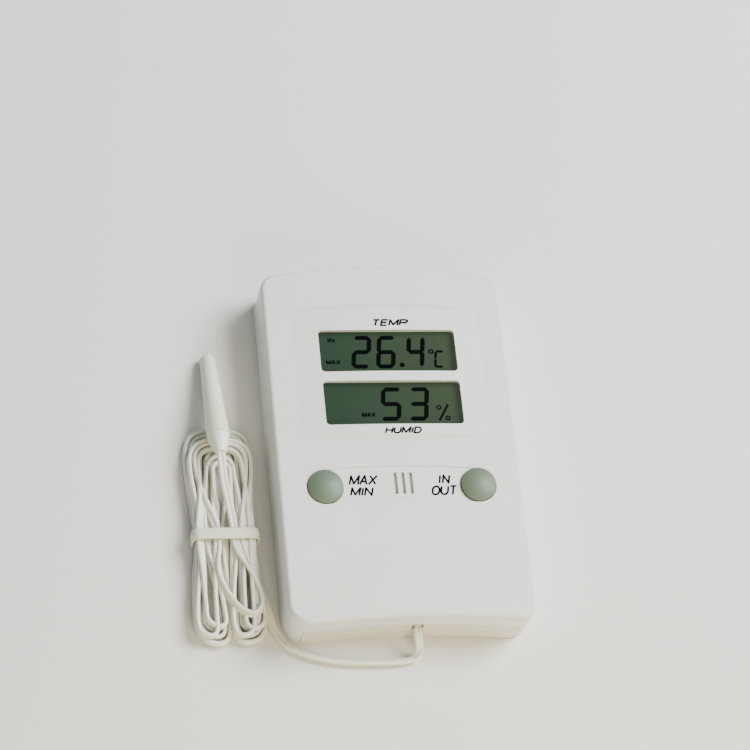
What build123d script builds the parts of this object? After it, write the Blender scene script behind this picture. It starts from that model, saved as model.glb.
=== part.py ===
from build123d import *
import math
import os

# Indoor/outdoor maximum-minimum thermometer and hygrometer with a wired outdoor probe.
# The case lies on its back: X is to the right, Y is up the front face, Z is out of the front face.
# The origin is under the middle of the case, on the surface that it lies on. Millimetres.

# Case
CASE_WIDTH = 70.0
CASE_LENGTH = 110.0
FACE_Z = 15.4
TOP_SAG = 3.4
BOTTOM_SAG = 1.9
CORNER_DROP = 0.45
BOTTOM_EDGE = -(CASE_LENGTH / 2 + CORNER_DROP) + BOTTOM_SAG
TOP_CORNER_R = 5.0
BOTTOM_CORNER_R = 6.0
FRONT_EDGE_R = 1.2
BACK_EDGE_R = 0.5
WALL = 1.8
FACE_WALL = 1.6
BACK_WALL = 2.0
SEAM = 0.15
TAB_HALF = 30.3
TAB_TOP = 8.4
UNDER_FACE = FACE_Z - FACE_WALL
FUSE = 0.2

# Raised display pad and its two windows
PAD_CROWN = 0.7
PAD_HALF_WIDTH = 27.0
PAD_TOP = 43.2
PAD_BOTTOM = -1.45
PAD_TOP_SAG = 2.4
PAD_BOTTOM_SAG = 2.1
PAD_TAPER = 70.0
WINDOW_WIDTH = 39.6
WINDOW_R = 1.2
WINDOWS = ((27.35, 13.1), (11.0, 13.6))
UNDER_PAD = UNDER_FACE + 0.8
PAD_CORE_GAP = 0.3

# Label strip and vent slots
STRIP_DEPTH = 0.25
STRIP_TOP = -8.4
STRIP_BOTTOM = -18.7
STRIP_SAG = 1.1
VENT_PITCH = 2.2
VENT_X = 0.5
VENT_Y = -13.6
VENT_LENGTH = 6.8
VENT_WIDTH = 0.95
VENT_RELIEF = (5.0, 4.4, 0.6)

# Buttons and their silicone domes
BUTTON_X = 21.8
BUTTON_Y = -14.6
BUTTON_R = 5.0
BUTTON_GAP = 0.18
BUTTON_TOP = 17.2
BUTTON_RIM = 15.9
BUTTON_FLANGE_R = 6.1
BUTTON_FLANGE = 1.0
BUTTON_FLANGE_GAP = 0.25
BUTTON_STEM_R = 2.2
DOME_R = 4.8
DOME_TOP_R = 2.4
DOME_TOP_Z = 11.5
DOME_HEAD = 1.6
DOME_SHOULDER = 0.4
DOME_FOOT = (0.7, 0.8, 1.9)
DOME_SKIN = 0.5

# Main board and display stack
BOARD_TOP = 8.4
BOARD_THICK = 1.6
BOARD_HALF = 30.0
BOARD_Y = (-27.5, 41.0)
BOARD_NOTCH = 4.2
UNDER_BOARD = BOARD_TOP - BOARD_THICK
LENS_PLATE = 0.6
LENS_TOP = 15.6
LENS_GAP = 0.1
LENS_HALF = 23.5
LENS_Y = (2.5, 36.0)
LCD_WIDTH = 47.0
LCD_Y = (0.4, 38.4)
LCD_LEDGE = 3.0
POLARIZER = 0.2
GLASS = 0.9
ZEBRA_WIDTH = 2.0
ZEBRA_END = 1.5
ZEBRA_EDGE = 0.3
LCD_FRAME_WALL = 1.4
LCD_GAP = 0.2
LCD_TOP = UNDER_PAD - LENS_PLATE - LENS_GAP

# Screws and their posts
CASE_SCREWS = ((-29.0, 45.5), (29.0, 45.5), (-29.7, -21.8), (29.7, -21.8))
CASE_POST_R = 3.0
CASE_SEAT_Z = 4.0
BOARD_SCREWS = ((-27.5, 37.5), (27.5, 37.5), (-15.5, -24.0), (15.5, -24.0))
BOARD_POST_R = 2.2
SCREW_SHANK_R = {"case": 1.3, "board": 0.95}
SCREW_HEAD = {"case": (2.3, 1.3), "board": (1.8, 1.1)}
SCREW_TIP = {"case": 2.5, "board": 1.8}
SCREW_BED = 0.7
CASE_SEAT = 1.5
PILOT_GAP = 0.05
SHANK_GAP = 0.1
HEAD_GAP = 0.3
CROSS_LENGTH = 1.2
CROSS_WIDTH = 0.28

# Battery bay in the rear cover, for one AAA cell lying across the case
BAY_Y = -36.6
BAY_HALF_LENGTH = 23.6
BAY_HALF_WIDTH = 5.65
BAY_LEDGE = 1.0
BAY_WALL = 1.0
BAY_TOP = 12.6
CELL_R = 5.25
CELL_LENGTH = 44.5
CELL_NUB = 0.8
CELL_NUB_R = 1.9
CELL_Z = 7.1
DOOR_GAP = 0.3
DOOR_Z = (0.15, 1.5)
DOOR_CORNER_R = 1.0
DOOR_RIBS = 5
DOOR_RIB = (1.6, 0.4, 4.0)
DOOR_SEAT_GAP = 0.05
CELL_EDGE_R = 0.4
CONTACT_THICK = 0.3
CONTACT_HALF = 4.0
CONTACT_Z = (3.0, 11.0)
TOUCH_GAP = 0.02
SPRING_WIRE_R = 0.25
SPRING_R = 3.0
SPRING_TURNS = 3
LEAD_R = 0.5
LEAD_WALL_GAP = 0.2
LEAD_STEPS = ((0.0, 0.0, 8.6), (0.0, 7.2, 6.5), (0.6, 11.0, 5.95), (4.4, 14.6, 6.1))

# Fold-out stand, hinged at its lower end
STAND_HALF = 12.5
STAND_HINGE_Y = -20.0
STAND_TIP_Y = 24.0
STAND_HINGE_Z = 1.9
STAND_Z = (0.4, 2.2)
STAND_GAP = 0.4
STAND_CORNER_R = 3.0
STAND_KNUCKLE_HALF = 3.2
FINGER_R = 6.5
SHELL_SIDE = 0.6
SHELL_END = 1.2
PANEL_DEPTH = 0.5
PANEL_SIDE = 4.0
PANEL_ENDS = (6.0, 5.0)
PANEL_CORNER_R = 2.0
STAND_KNUCKLE_R = 1.35
PIN_R = 1.0
PIN_GAP = 0.06
PIN_LENGTH = 2.0
PIN_END_GAP = 0.3
POCKET_FLOOR = 1.2

# Keyhole for hanging on a wall
KEYHOLE_Y = 36.5
KEYHOLE_R = 3.75
KEYHOLE_SLOT_R = 2.0
KEYHOLE_TRAVEL = 7.0

# Small parts on the main board: places, then length, width and height
BLOB = (0.0, 22.0, 5.0, 0.3)
CRYSTAL_PLACE = (11.0, 30.0)
CRYSTAL_SIZE = (1.0, 6.0)
RESISTORS = tuple((-9.0 - 3 * step, 29.5) for step in range(5))
RESISTOR_SIZE = (1.6, 0.8, 0.5)
CAPACITORS = tuple((17.0, 31.0 + 2.4 * step) for step in range(3))
CAPACITOR_SIZE = (2.0, 1.25, 0.8)
BEAD_R = 1.1
BEAD_RISE = 3.0
BEAD_X = 7.6
LEG_R = 0.25
LEG_SPREAD = 0.6
SENSOR_HALF = (4.2, 3.8)
SENSOR_TOP = 14.0
SENSOR_SLOT = (0.8, 5.0, 1.2)

# Flat twin sensor cable, its hank and the tie round it
CORD_WIDTH = 2.4
CORD_R = CORD_WIDTH / 2
NOTCH_X = (0.2, 3.4)
NOTCH_Y = (-CASE_LENGTH, BOTTOM_EDGE + WALL + 2)
NOTCH_Z = (5.7, 9.2)
EXIT = (1.8, BOTTOM_EDGE, 7.3)
GUIDE_RIB_R = 0.9
GUIDE_RIBS = ((-9.0, -44.9), (-14.5, -50.3), (-20.0, -44.9))
BEND_SHARE = 0.45
CORD_ROUTE = (
    EXIT,
    (1.8, -55.2, 7.3),
    (2.0, -56.6, 6.4),
    (2.4, -57.7, 4.9),
    (2.7, -58.6, 3.3),
    (2.2, -59.8, 1.9),
    (0.7, -60.9, 1.25),
    (-4.4, -61.4, 1.25),
    (-11.9, -61.3, 1.25),
    (-20.2, -60.8, 1.25),
    (-27.4, -59.1, 1.25),
    (-33.6, -56.2, 1.25),
    (-37.2, -51.0, 1.25),
    (-38.4, -45.0, 1.6),
    (-40.4, -40.4, 2.2),
)
INNER_ROUTE = (
    EXIT,
    (1.8, -49.6, 7.3),
    (-0.6, -47.4, 6.8),
    (-5.6, -47.3, 6.2),
    (-14.0, -47.6, 5.4),
    (-22.5, -47.3, 4.8),
    (-28.4, -45.6, 4.4),
    (-30.2, -40.2, 4.3),
    (-30.0, -33.8, 4.3),
    (-28.2, -28.2, 4.1),
    (-24.2, -24.6, 4.0),
    (-19.4, -23.2, 4.0),
)
HANK_WAIST_Y = -24.4
HANK_WAIST = (17.6, 5.4)
TIE_WIDTH = 3.3
TIE_THICK = 0.9
HANK_X = -49.0
HANK_BOTTOM = -57.2
HANK_TOP = 9.6

# Probe: a hollow tapered body closed by a cap where the cable goes in
PROBE_LENGTH = 35.2
PROBE_R = 3.3
PROBE_TIP_R = 2.25
PROBE_CAP = 5.8
PROBE_CAP_END_R = 1.5
PROBE_WALL = 0.8
PROBE_SPIGOT = 3.0
PROBE_CAP_END = (-49.4, -1.2, 10.0)
PROBE_TIP = (-49.9, 33.0)
TIP_CLEAR = 0.05


def save(shape, name):
    export_step(shape, f"parts/{name}.step")


def block(x, y, z):
    """Box between pairs of limits along each axis."""
    size = [high - low for low, high in (x, y, z)]
    centre = [(high + low) / 2 for low, high in (x, y, z)]
    return Pos(*centre) * Box(*size)


def rod(x, y, z, radius):
    """Upright cylinder between two heights."""
    return Pos(x, y, (z[0] + z[1]) / 2) * Cylinder(radius, z[1] - z[0])


def prism(sketch, z):
    """Sketch extruded between two heights."""
    return extrude(Pos(0, 0, z[0]) * sketch, z[1] - z[0])


def group(solids):
    """Several separate solids kept in one node."""
    return Compound(children=[solid.solid() for solid in solids])


def revolved(points):
    """Solid of revolution about Z of a closed outline of (radius, height) points."""
    return revolve(Plane.XZ * make_face(Polyline(*points, close=True)), Axis.Z)


def arched_face(half, top, top_sag, bottom, bottom_sag):
    """Face between two arcs, closed by straight sides; each sag is how far the ends drop."""
    top_end = top - top_sag
    bottom_end = bottom - bottom_sag
    sides = (
        ThreePointArc((half, top_end), (0, top), (-half, top_end)),
        Line((-half, top_end), (-half, bottom_end)),
        ThreePointArc((-half, bottom_end), (0, bottom), (half, bottom_end)),
        Line((half, bottom_end), (half, top_end)),
    )
    return make_face(sides)


def case_outline(inset=0.0):
    """Case seen from the front: the top edge bows out and the bottom edge follows it."""
    face = arched_face(CASE_WIDTH / 2, CASE_LENGTH / 2, TOP_SAG, BOTTOM_EDGE, BOTTOM_SAG)
    face = fillet(face.vertices().group_by(Axis.Y)[-1], TOP_CORNER_R)
    face = fillet(face.vertices().group_by(Axis.Y)[0], BOTTOM_CORNER_R)
    if inset:
        face = offset(face, -inset)
    return face


def case_block():
    """Outer form of the closed case."""
    body = prism(case_outline(), (0, FACE_Z))
    body = fillet(body.edges().group_by(Axis.Z)[-1], FRONT_EDGE_R)
    return fillet(body.edges().group_by(Axis.Z)[0], BACK_EDGE_R)


def tab_zone(half, top):
    """Space of the rear cover's tab in the bottom wall, below a given height."""
    return block((-half, half), (-CASE_LENGTH, BOTTOM_EDGE + WALL + 1), (-1, top))


def display_pad():
    """Pad whose crowned top fades into the face at its sides, with sloping ends."""
    crown_r = (PAD_HALF_WIDTH**2 + PAD_CROWN**2) / (2 * PAD_CROWN)
    crown = Rot(90, 0, 0) * Cylinder(crown_r, CASE_LENGTH * 2)
    crown = Pos(0, 0, FACE_Z + PAD_CROWN - crown_r) * crown
    outline = arched_face(PAD_HALF_WIDTH + 2, PAD_TOP, PAD_TOP_SAG, PAD_BOTTOM, -PAD_BOTTOM_SAG)
    root = FACE_Z - FUSE
    raised = extrude(Pos(0, 0, root) * outline, PAD_CROWN + 2 * FUSE, taper=PAD_TAPER)
    return raised & crown


def window_prism(window, z, shrink=0.0):
    centre, height = window
    face = RectangleRounded(WINDOW_WIDTH - 2 * shrink, height - 2 * shrink, WINDOW_R)
    return prism(Pos(0, centre) * face, z)


def label_strip():
    """Shallow recess that joins the two button holes."""
    face = arched_face(BUTTON_X, STRIP_TOP, STRIP_SAG, STRIP_BOTTOM, STRIP_SAG)
    return prism(face, (FACE_Z - STRIP_DEPTH, FACE_Z + 1))


def vent_slots(through):
    """Three slots through a thinned patch of the face."""
    half_x, half_y, depth = VENT_RELIEF
    x, y = (VENT_X - half_x, VENT_X + half_x), (VENT_Y - half_y, VENT_Y + half_y)
    cut = block(x, y, (through[0], UNDER_FACE + depth))
    for step in (-1, 0, 1):
        slot = Pos(VENT_X + step * VENT_PITCH, VENT_Y) * SlotOverall(VENT_LENGTH, VENT_WIDTH, rotation=90)
        cut += prism(slot, through)
    return cut


def front_cover():
    cover = case_block() + display_pad()
    cover -= prism(case_outline(WALL), (-1, UNDER_FACE))
    cover -= lcd_room(PAD_CORE_GAP, (UNDER_FACE - 1, UNDER_PAD))
    cover -= tab_zone(TAB_HALF + SEAM, TAB_TOP + SEAM)
    cover -= block(NOTCH_X, NOTCH_Y, (-1, NOTCH_Z[1]))
    through = (UNDER_FACE - 1, BUTTON_TOP + 1)
    for window in WINDOWS:
        cover -= window_prism(window, through)
    cover -= label_strip()
    for side in (-1, 1):
        cover -= rod(side * BUTTON_X, BUTTON_Y, through, BUTTON_R + BUTTON_GAP)
    cover -= vent_slots(through)
    posts = (
        ("case", CASE_SCREWS, CASE_POST_R, CASE_SEAT_Z),
        ("board", BOARD_SCREWS, BOARD_POST_R, BOARD_TOP),
    )
    for kind, places, post_r, foot in posts:
        pilot_end = UNDER_FACE - SCREW_TIP[kind] + SCREW_BED
        for x, y in places:
            cover += rod(x, y, (foot, UNDER_FACE + FUSE), post_r)
            cover -= rod(x, y, (foot - 1, pilot_end), SCREW_SHANK_R[kind] + PILOT_GAP)
    return cover


def screw(x, y, seat_z, tip_z, kind):
    """Pan-head screw pointing up, with a cross recess in its head."""
    head_r, head_height = SCREW_HEAD[kind]
    shape = rod(x, y, (seat_z - head_height, seat_z), head_r)
    shape = chamfer(shape.edges().group_by(Axis.Z)[0], head_height / 4)
    for turn in (0, 90):
        cross = Box(head_r * CROSS_LENGTH, head_r * CROSS_WIDTH, head_height)
        shape -= Pos(x, y, seat_z - head_height) * Rot(0, 0, turn) * cross
    return shape + rod(x, y, (seat_z, tip_z), SCREW_SHANK_R[kind])


def screws(places, seat_z, kind):
    return group([screw(x, y, seat_z, UNDER_FACE - SCREW_TIP[kind], kind) for x, y in places])


def bay_block(grow, z):
    half_length = BAY_HALF_LENGTH + grow
    half_width = BAY_HALF_WIDTH + grow
    return block((-half_length, half_length), (BAY_Y - half_width, BAY_Y + half_width), z)


def stand_room(side, ends, low, rise):
    """Room for the folded stand, taller over its knuckle: ends are how far it runs past each end."""
    x = (-STAND_HALF - side, STAND_HALF + side)
    start = STAND_HINGE_Y - STAND_KNUCKLE_HALF - ends[0]
    leg = block(x, (start, STAND_TIP_Y + ends[1]), (low, STAND_Z[1] + rise))
    knuckle_end = STAND_HINGE_Y + STAND_KNUCKLE_HALF + ends[0]
    knuckle_top = STAND_HINGE_Z + STAND_KNUCKLE_R + rise
    return leg + block(x, (start, knuckle_end), (low, knuckle_top))


def stand_pocket():
    """Pocket in the back for the stand and for a fingertip at its free end."""
    pocket = stand_room(STAND_GAP, (0, STAND_GAP), -1, STAND_GAP)
    return pocket + Pos(0, STAND_TIP_Y, 0) * Cylinder(FINGER_R, 2 * STAND_Z[1])


def stand_shell():
    """Raised back of the pocket, inside the case."""
    side = STAND_GAP + PIN_LENGTH + SHELL_SIDE
    ends = (SHELL_END, FINGER_R + SHELL_END)
    return stand_room(side, ends, BACK_WALL / 4, STAND_GAP + POCKET_FLOOR)


def keyhole():
    slot_y = KEYHOLE_Y + KEYHOLE_TRAVEL
    hole = rod(0, KEYHOLE_Y, (-1, BACK_WALL + 1), KEYHOLE_R)
    hole += block((-KEYHOLE_SLOT_R, KEYHOLE_SLOT_R), (KEYHOLE_Y, slot_y), (-1, BACK_WALL + 1))
    hole += rod(0, slot_y, (-1, BACK_WALL + 1), KEYHOLE_SLOT_R)
    return hole


def rear_cover():
    cover = prism(case_outline(WALL + SEAM), (0, BACK_WALL))
    tab = case_block() & tab_zone(TAB_HALF, TAB_TOP)
    cover += tab - prism(case_outline(WALL), (BACK_WALL, FACE_Z))
    cover += stand_shell()
    cover += bay_block(BAY_LEDGE + BAY_WALL, (BACK_WALL / 2, BAY_TOP + BAY_WALL))
    for x, y in CASE_SCREWS:
        cover += rod(x, y, (BACK_WALL / 2, CASE_SEAT_Z), CASE_POST_R)
    for x, y in GUIDE_RIBS:
        cover += rod(x, y, (BACK_WALL / 2, TAB_TOP), GUIDE_RIB_R)
    cover -= stand_pocket()
    cover -= bay_block(0, (0, BAY_TOP))
    cover -= bay_block(BAY_LEDGE, (-1, DOOR_Z[1] + DOOR_SEAT_GAP))
    cover -= keyhole()
    for x, y in CASE_SCREWS:
        cover -= rod(x, y, (-1, CASE_SEAT_Z - CASE_SEAT), SCREW_HEAD["case"][0] + HEAD_GAP)
        cover -= rod(x, y, (-1, CASE_SEAT_Z + 1), SCREW_SHANK_R["case"] + SHANK_GAP)
    cover -= block(NOTCH_X, NOTCH_Y, NOTCH_Z)
    pin_hole = Rot(0, 90, 0) * Cylinder(PIN_R + PIN_GAP, 2 * (STAND_HALF + STAND_GAP + PIN_LENGTH))
    cover -= Pos(0, STAND_HINGE_Y, STAND_HINGE_Z) * pin_hole
    return cover


def fold_out_stand():
    leg = block((-STAND_HALF, STAND_HALF), (STAND_HINGE_Y, STAND_TIP_Y), STAND_Z)
    leg = fillet(leg.edges().filter_by(Axis.Z).group_by(Axis.Y)[-1], STAND_CORNER_R)
    panel = block(
        (-STAND_HALF + PANEL_SIDE, STAND_HALF - PANEL_SIDE),
        (STAND_HINGE_Y + PANEL_ENDS[0], STAND_TIP_Y - PANEL_ENDS[1]),
        (0, STAND_Z[0] + PANEL_DEPTH),
    )
    leg -= fillet(panel.edges().filter_by(Axis.Z), PANEL_CORNER_R)
    knuckle = Rot(0, 90, 0) * Cylinder(STAND_KNUCKLE_R, 2 * STAND_HALF)
    pins = Rot(0, 90, 0) * Cylinder(PIN_R, 2 * (STAND_HALF + STAND_GAP + PIN_LENGTH - PIN_END_GAP))
    return leg + Pos(0, STAND_HINGE_Y, STAND_HINGE_Z) * (knuckle + pins)


def battery_door():
    grow = BAY_LEDGE - DOOR_GAP
    door = bay_block(grow, DOOR_Z)
    door = fillet(door.edges().filter_by(Axis.Z), DOOR_CORNER_R)
    pitch, half_groove, half_length = DOOR_RIB
    y = (BAY_Y - half_length, BAY_Y + half_length)
    z = (DOOR_Z[0] - 1, DOOR_Z[0] + half_groove)
    for rib in range(DOOR_RIBS):
        x = BAY_HALF_LENGTH + grow - pitch * (rib + 1.5)
        door -= block((x - half_groove, x + half_groove), y, z)
    return door


def battery_cell():
    """AAA cell with its nub towards +X."""
    body_length = CELL_LENGTH - CELL_NUB
    can = Cylinder(CELL_R, body_length)
    can = fillet(can.edges(), CELL_EDGE_R)
    can += Pos(0, 0, body_length / 2 + CELL_NUB / 2) * Cylinder(CELL_NUB_R, CELL_NUB)
    tip_x = BAY_HALF_LENGTH - CONTACT_THICK - TOUCH_GAP
    return Pos(tip_x - CELL_NUB - body_length / 2, BAY_Y, CELL_Z) * Rot(0, 90, 0) * can


def battery_spring():
    room = 2 * (BAY_HALF_LENGTH - CONTACT_THICK) - CELL_LENGTH - 2 * TOUCH_GAP
    height = room - 2 * SPRING_WIRE_R - 2 * TOUCH_GAP
    path = Helix(pitch=height / SPRING_TURNS, height=height, radius=SPRING_R)
    section = Plane(origin=path @ 0, z_dir=path % 0) * Circle(SPRING_WIRE_R)
    coil = sweep(section, path)
    x = -BAY_HALF_LENGTH + CONTACT_THICK + SPRING_WIRE_R + TOUCH_GAP
    return Pos(x, BAY_Y, CELL_Z) * Rot(0, 90, 0) * coil


def battery_contacts():
    """Sprung end plate and flat end plate, each against an end wall of the bay."""
    plates = []
    for side in (-1, 1):
        x = sorted((side * BAY_HALF_LENGTH, side * (BAY_HALF_LENGTH - CONTACT_THICK)))
        plates.append(block(x, (BAY_Y - CONTACT_HALF, BAY_Y + CONTACT_HALF), CONTACT_Z))
    return group(plates)


def round_path(points):
    """Straight runs joined by tangent arcs, each as large as its two runs allow."""
    places = [Vector(*point) for point in points]
    radii = []
    for before, here, after in zip(places, places[1:], places[2:]):
        run_in = here - before
        run_out = after - here
        turn = math.radians(run_in.get_angle(run_out))
        shorter = min(run_in.length, run_out.length)
        radii.append(BEND_SHARE * shorter / math.tan(turn / 2))
    return FilletPolyline(*places, radius=radii), radii


def tube(points, radius, name):
    """Round tube along a path, with its bend radii and volume printed for a check."""
    path, radii = round_path(points)
    section = Plane(origin=path @ 0, z_dir=path % 0) * Circle(radius)
    solid = sweep(section, path)
    expected = math.pi * radius**2 * path.length
    print(name, "length", round(path.length, 1), "volume", round(solid.volume, 1), round(expected, 1))
    print(name, "radii", [round(r, 1) for r in radii])
    return solid


def battery_leads():
    """Two wires from the contact plates over the bay's wall to the board."""
    wires = []
    for side in (-1, 1):
        x = BAY_HALF_LENGTH + BAY_LEDGE + BAY_WALL + LEAD_R + LEAD_WALL_GAP
        route = [(side * (x - inward), BAY_Y + along, z) for inward, along, z in LEAD_STEPS]
        wires.append(tube(route, LEAD_R, "battery_lead"))
    return group(wires)


def display_lens():
    lens = block((-LENS_HALF, LENS_HALF), LENS_Y, (UNDER_PAD - LENS_PLATE, UNDER_PAD))
    for window in WINDOWS:
        lens += window_prism(window, (UNDER_PAD - FUSE, LENS_TOP), LENS_GAP)
    return lens


def lcd_layer(top, thick, ledge):
    return block(
        (-LCD_WIDTH / 2, LCD_WIDTH / 2),
        (LCD_Y[0] + ledge, LCD_Y[1] - ledge),
        (top - thick, top),
    )


def zebra(side):
    """Elastomer strip from the board to the ledge of the front glass."""
    top = LCD_TOP - POLARIZER - GLASS
    edge = LCD_Y[1] - ZEBRA_EDGE if side > 0 else LCD_Y[0] + ZEBRA_EDGE
    half = LCD_WIDTH / 2 - ZEBRA_END
    return block((-half, half), sorted((edge, edge - side * ZEBRA_WIDTH)), (BOARD_TOP, top))


def lcd_room(grow, z):
    x = (-LCD_WIDTH / 2 - grow, LCD_WIDTH / 2 + grow)
    return block(x, (LCD_Y[0] - grow, LCD_Y[1] + grow), z)


def lcd_frame():
    outer = lcd_room(LCD_GAP + LCD_FRAME_WALL, (BOARD_TOP, UNDER_FACE - LCD_GAP))
    return outer - lcd_room(LCD_GAP, (0, FACE_Z))


def main_board():
    z = (UNDER_BOARD, BOARD_TOP)
    board = block((-BOARD_HALF, BOARD_HALF), BOARD_Y, z)
    notch_top = CASE_SCREWS[2][1] + CASE_POST_R + STAND_GAP
    for side in (-1, 1):
        x = sorted((side * (BOARD_HALF - BOARD_NOTCH), side * (BOARD_HALF + 1)))
        board -= block(x, (BOARD_Y[0] - 1, notch_top), z)
    for x, y in BOARD_SCREWS:
        board -= rod(x, y, (z[0] - 1, z[1] + 1), SCREW_SHANK_R["board"] + SHANK_GAP)
    return board


def controller_blob():
    """Drop of black resin over the controller, under the board."""
    x, y, radius, flatten = BLOB
    drop = Pos(x, y, UNDER_BOARD) * scale(Sphere(radius), (1, 1, flatten))
    return drop & block((x - radius, x + radius), (y - radius, y + radius), (0, UNDER_BOARD))


def crystal():
    can_r, length = CRYSTAL_SIZE
    return Pos(*CRYSTAL_PLACE, UNDER_BOARD - can_r) * Rot(90, 0, 0) * Cylinder(can_r, length)


def chips(places, size):
    """Row of small parts soldered under the board."""
    length, width, height = size
    z = (UNDER_BOARD - height, UNDER_BOARD)
    solids = []
    for x, y in places:
        solids.append(block((x - length / 2, x + length / 2), (y - width / 2, y + width / 2), z))
    return group(solids)


def inside_thermistor():
    """Bead on two legs beside the vent slots."""
    bead_z = BOARD_TOP + BEAD_RISE
    bead = Pos(BEAD_X, VENT_Y, bead_z) * Sphere(BEAD_R)
    for side in (-1, 1):
        bead += rod(BEAD_X + side * LEG_SPREAD, VENT_Y, (BOARD_TOP, bead_z), LEG_R)
    return bead


def humidity_sensor():
    """Sensor housing on the board, close under the vent slots, with slots between them."""
    half_x, half_y = SENSOR_HALF
    z = (BOARD_TOP, SENSOR_TOP)
    body = block((VENT_X - half_x, VENT_X + half_x), (VENT_Y - half_y, VENT_Y + half_y), z)
    width, length, depth = SENSOR_SLOT
    for step in (-0.5, 0.5):
        body -= Pos(VENT_X + step * VENT_PITCH, VENT_Y, SENSOR_TOP) * Box(width, length, 2 * depth)
    return body


def button(side):
    """Domed button with a retaining flange and a stem over its silicone dome."""
    flange_top = UNDER_FACE - BUTTON_FLANGE_GAP
    flange_bottom = flange_top - BUTTON_FLANGE
    rise = BUTTON_TOP - BUTTON_RIM
    dome_r = (BUTTON_R**2 + rise**2) / (2 * rise)
    shape = rod(0, 0, (flange_bottom, BUTTON_TOP), BUTTON_R)
    shape &= Pos(0, 0, BUTTON_TOP - dome_r) * Sphere(dome_r)
    shape += rod(0, 0, (flange_bottom, flange_top), BUTTON_FLANGE_R)
    shape += rod(0, 0, (DOME_TOP_Z + 0.05, flange_bottom), BUTTON_STEM_R)
    return Pos(side * BUTTON_X, BUTTON_Y, 0) * shape


def contact_dome(side):
    """Silicone dome between the board and a button."""
    foot_width, foot_height, inner_width = DOME_FOOT
    outline = (
        (DOME_R, BOARD_TOP),
        (DOME_R, BOARD_TOP + foot_height),
        (DOME_R - foot_width, BOARD_TOP + foot_height),
        (DOME_TOP_R, DOME_TOP_Z - DOME_SHOULDER),
        (DOME_TOP_R, DOME_TOP_Z),
        (0, DOME_TOP_Z),
        (0, DOME_TOP_Z - DOME_HEAD),
        (DOME_TOP_R - DOME_SKIN, DOME_TOP_Z - DOME_HEAD),
        (DOME_R - inner_width, BOARD_TOP),
    )
    return Pos(side * BUTTON_X, BUTTON_Y, 0) * revolved(outline)


def hank_outline():
    """Hank seen from above: fanned ends and a waist under the tie."""
    half = HANK_WAIST[0] / 2
    points = (
        (HANK_X - half, HANK_WAIST_Y),
        (HANK_X - 10.2, HANK_WAIST_Y + 16),
        (HANK_X - 8.6, HANK_TOP - 2.5),
        (HANK_X - 1.0, HANK_TOP),
        (HANK_X + 8.4, HANK_TOP - 1.5),
        (HANK_X + 10.2, HANK_WAIST_Y + 16),
        (HANK_X + half, HANK_WAIST_Y),
        (HANK_X + 10.4, HANK_WAIST_Y - 18),
        (HANK_X + 6.8, HANK_BOTTOM + 1.6),
        (HANK_X + 1.5, HANK_BOTTOM),
        (HANK_X - 7.6, HANK_BOTTOM + 5.6),
        (HANK_X - 10.0, HANK_WAIST_Y - 20),
    )
    return make_face(Spline(*points, periodic=True))


def hank_profile():
    """Hank seen from the side, low at the end that the probe lies on."""
    points = (
        (HANK_BOTTOM - 2, 0),
        (HANK_BOTTOM - 2, 4.6),
        (HANK_BOTTOM + 10, 6.4),
        (HANK_WAIST_Y, 6.3),
        (-3.0, 7.2),
        (4.5, 5.0),
        (HANK_TOP + 1, 3.9),
        (HANK_TOP + 1, 0),
    )
    face = Plane.YZ * make_face(Polyline(*points, close=True))
    return extrude(Pos(HANK_X, 0, 0) * face, 15, both=True)


def tie_block(grow):
    half = HANK_WAIST[0] / 2 + grow
    z = (TIE_THICK - grow, TIE_THICK + HANK_WAIST[1] + grow)
    y = (HANK_WAIST_Y - TIE_WIDTH / 2, HANK_WAIST_Y + TIE_WIDTH / 2)
    ring = block((HANK_X - half, HANK_X + half), y, z)
    return fillet(ring.edges().filter_by(Axis.Y), 1.6 + grow)


def hank_tie():
    """Moulded band round the waist of the hank."""
    return tie_block(TIE_THICK) - tie_block(0)


def cord_hank():
    """Outer shape of the folded cable, with a groove where the tie holds it."""
    hank = prism(hank_outline(), (0, 9)) & hank_profile()
    zone = block((HANK_X - 20, HANK_X + 20), (HANK_WAIST_Y - TIE_WIDTH / 2, HANK_WAIST_Y + TIE_WIDTH / 2), (-1, 12))
    return (hank - zone) + tie_block(-0.02)


def probe_frame():
    """Placement of the probe: its axis runs from the cap's small end to the tip on the surface."""
    start = Vector(*PROBE_CAP_END)
    drop = start.Z - PROBE_TIP_R - TIP_CLEAR
    slope = math.asin(drop / (PROBE_LENGTH - PROBE_TIP_R))
    level = Vector(PROBE_TIP[0] - start.X, PROBE_TIP[1] - start.Y, 0).normalized()
    axis = level * math.cos(slope) - Vector(0, 0, math.sin(slope))
    return Plane(origin=start, x_dir=Vector(1, 0, 0), z_dir=axis)


def probe_skin(grow, start):
    """Outline of the tapered body with a round tip, moved in by a wall."""
    tip_r = PROBE_TIP_R - grow
    base_r = PROBE_R - grow
    tip_z = PROBE_LENGTH - PROBE_TIP_R
    outline = (
        Line((0, start), (base_r, start)),
        Line((base_r, start), (tip_r, tip_z)),
        CenterArc((0, tip_z), tip_r, 0, 90),
        Line((0, tip_z + tip_r), (0, start)),
    )
    return revolve(Plane.XZ * make_face(outline), Axis.Z)


def probe_body():
    outer = probe_skin(0, PROBE_CAP)
    inner = probe_skin(PROBE_WALL, PROBE_CAP - 0.5)
    return probe_frame() * (outer - inner)


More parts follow.
